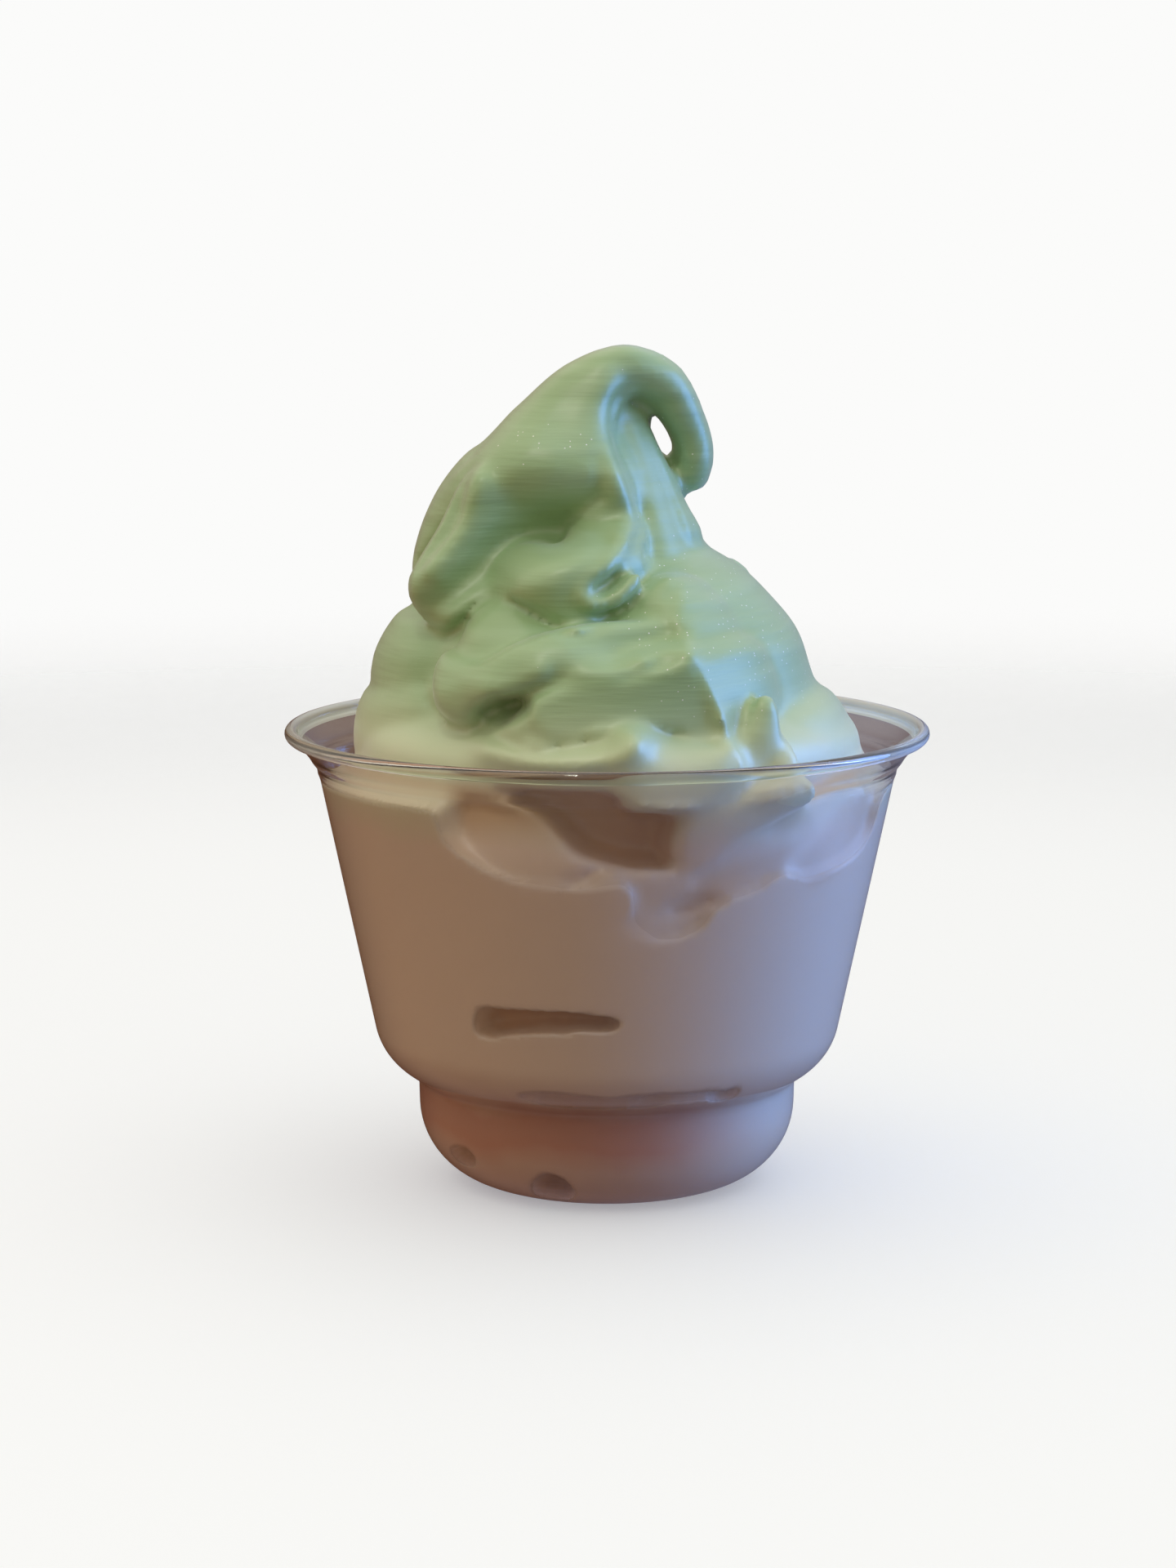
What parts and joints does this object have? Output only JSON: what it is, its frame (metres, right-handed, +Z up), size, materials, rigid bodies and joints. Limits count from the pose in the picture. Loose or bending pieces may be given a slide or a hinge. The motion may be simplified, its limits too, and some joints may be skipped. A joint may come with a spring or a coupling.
{
  "type": "ice cream cup",
  "caption": "Clear plastic sundae cup with a stepped foot and flared rim, filled with pale green soft serve that folds up to a curled tip.",
  "frame": {"origin": "centre of the cup's base, on the surface it stands on", "axes": "+Z up along the cup's axis, -Y the front as seen in the picture, +X to the right"},
  "size_m": [0.096, 0.096, 0.1253],
  "materials": {
    "clear_plastic": "clear thermoformed PET, glossy, with a rolled rim",
    "soft_serve": "pale green soft serve ice cream, satin and moist, with fine drawn streaks"
  },
  "bodies": {
    "root": {"cup": "clear_plastic", "soft_serve": "soft_serve"}
  },
  "joints": []
}
